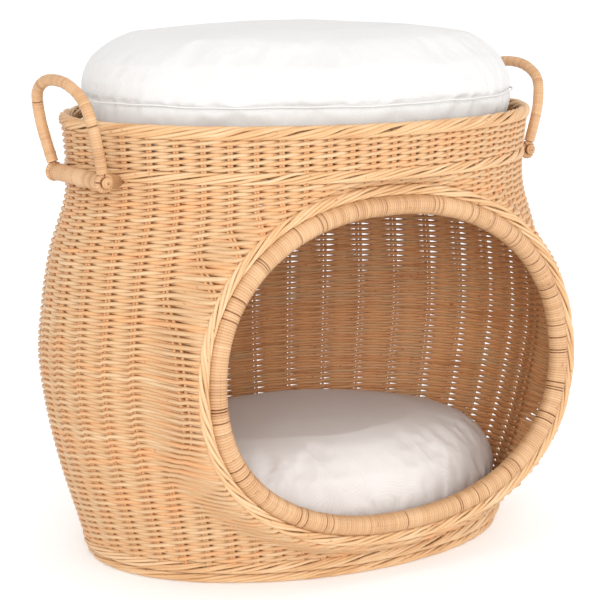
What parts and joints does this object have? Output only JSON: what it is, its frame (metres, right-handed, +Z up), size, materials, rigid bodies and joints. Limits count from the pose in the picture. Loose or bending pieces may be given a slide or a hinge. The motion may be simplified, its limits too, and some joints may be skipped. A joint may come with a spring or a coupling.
{
  "type": "wicker pet bed basket",
  "caption": "Pot-shaped wicker pet bed with a round front opening, cushioned cabin, cushioned upper bed and hinged cane handles.",
  "frame": {"origin": "centre of the basket's footprint, on the floor", "axes": "+X to the basket's own right-hand handle seen from the front, -Y out of the front opening, +Z up"},
  "size_m": [0.5585, 0.3778, 0.51],
  "materials": {
    "woven_rattan": "satin round core weave",
    "rope_border": "satin rope of rods",
    "bent_cane": "satin cane",
    "rattan_peel": "satin flat peel",
    "white_cotton": "matte plain weave",
    "pale_linen": "matte linen weave",
    "cushion_fill": "matte wadding"
  },
  "bodies": {
    "basket": {"foot_border": "rope_border", "lower_wale": "rope_border", "body_wall": "woven_rattan", "neck_wale": "rope_border", "collar_wall": "woven_rattan", "rim_border": "rope_border", "base_floor": "woven_rattan", "shelf_hoop": "bent_cane", "shelf_panel": "woven_rattan", "opening_hoop_core": "bent_cane", "opening_braid": "rope_border", "opening_hoop_wrap_1": "rattan_peel", "opening_hoop_wrap_2": "rattan_peel", "opening_hoop_wrap_3": "rattan_peel", "opening_hoop_wrap_4": "rattan_peel", "left_handle_bar": "bent_cane", "left_handle_lashing": "rattan_peel", "right_handle_bar": "bent_cane", "right_handle_lashing": "rattan_peel"},
    "left_handle": {"left_handle_loop": "bent_cane", "left_handle_wrap": "rattan_peel"},
    "right_handle": {"right_handle_loop": "bent_cane", "right_handle_wrap": "rattan_peel"},
    "top_cushion": {"top_cushion_filling": "cushion_fill", "top_cushion_top_panel": "white_cotton", "top_cushion_bottom_panel": "white_cotton", "top_cushion_side_band": "white_cotton", "top_cushion_piping": "white_cotton"},
    "cabin_cushion": {"cabin_cushion_filling": "cushion_fill", "cabin_cushion_top_panel": "pale_linen", "cabin_cushion_bottom_panel": "pale_linen"}
  },
  "joints": [
    {"name": "left_handle_turn", "type": "hinge", "parent": "basket", "child": "left_handle", "pos_m": [-0.253, -0.012, 0.379], "axis": [0, -1, 0], "range_deg": [-12, 140]},
    {"name": "right_handle_turn", "type": "hinge", "parent": "basket", "child": "right_handle", "pos_m": [0.253, 0.004, 0.379], "axis": [0, 1, 0], "range_deg": [-12, 140]},
    {"name": "top_cushion_lift", "type": "slide", "parent": "basket", "child": "top_cushion", "axis": [0, 0, 1], "range_m": [0, 0.12]},
    {"name": "cabin_cushion_lift", "type": "slide", "parent": "basket", "child": "cabin_cushion", "axis": [0, 0, 1], "range_m": [0, 0.06]}
  ]
}
